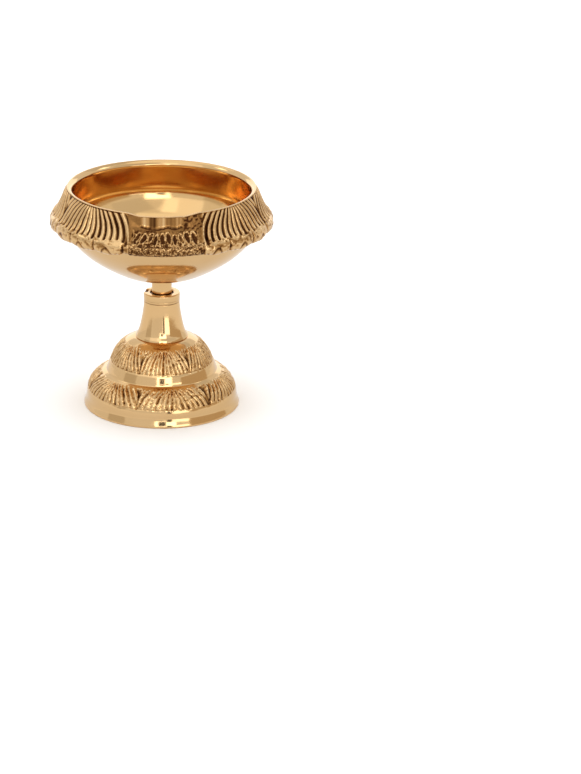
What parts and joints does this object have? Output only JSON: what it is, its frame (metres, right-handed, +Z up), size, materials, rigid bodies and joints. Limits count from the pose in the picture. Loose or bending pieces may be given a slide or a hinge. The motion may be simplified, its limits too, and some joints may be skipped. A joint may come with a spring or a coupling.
{
  "type": "brass oil lamp",
  "caption": "Brass devotional oil lamp: ornamented bowl with a wick notch, screwed on a stem above a domed, tiered foot",
  "frame": {"origin": "centre of the foot's underside, on the lamp's axis, where it stands on a table", "axes": "+Z up along the lamp's axis; -Y is the front, where the wick notch is; +X to the right of someone facing the notch"},
  "size_m": [0.0754, 0.0754, 0.0773],
  "materials": {
    "polished_brass": "turned and polished",
    "cast_brass": "cast ornament, polished on the high points, darker in the recesses",
    "fastener_brass": "plain machined"
  },
  "bodies": {
    "stand": {"base": "cast_brass", "stem": "polished_brass", "collar_ring": "polished_brass", "base_washer": "fastener_brass", "base_bolt": "fastener_brass"},
    "seat": {"seat_washer": "polished_brass"},
    "bowl": {"neck_spindle": "polished_brass", "bowl": "polished_brass"}
  },
  "joints": [
    {"name": "neck_screw_lift", "type": "slide", "parent": "stand", "child": "seat", "axis": [0, 0, 1], "range_m": [0, 0.0075]},
    {"name": "neck_screw_turn", "type": "hinge", "parent": "seat", "child": "bowl", "pos_m": [0, 0, 0.0387], "axis": [0, 0, 1], "range_deg": [0, 2160]}
  ],
  "couplings": [
    {"joint": "neck_screw_lift", "follows": "neck_screw_turn", "m_per_rad": 0.00019894}
  ]
}
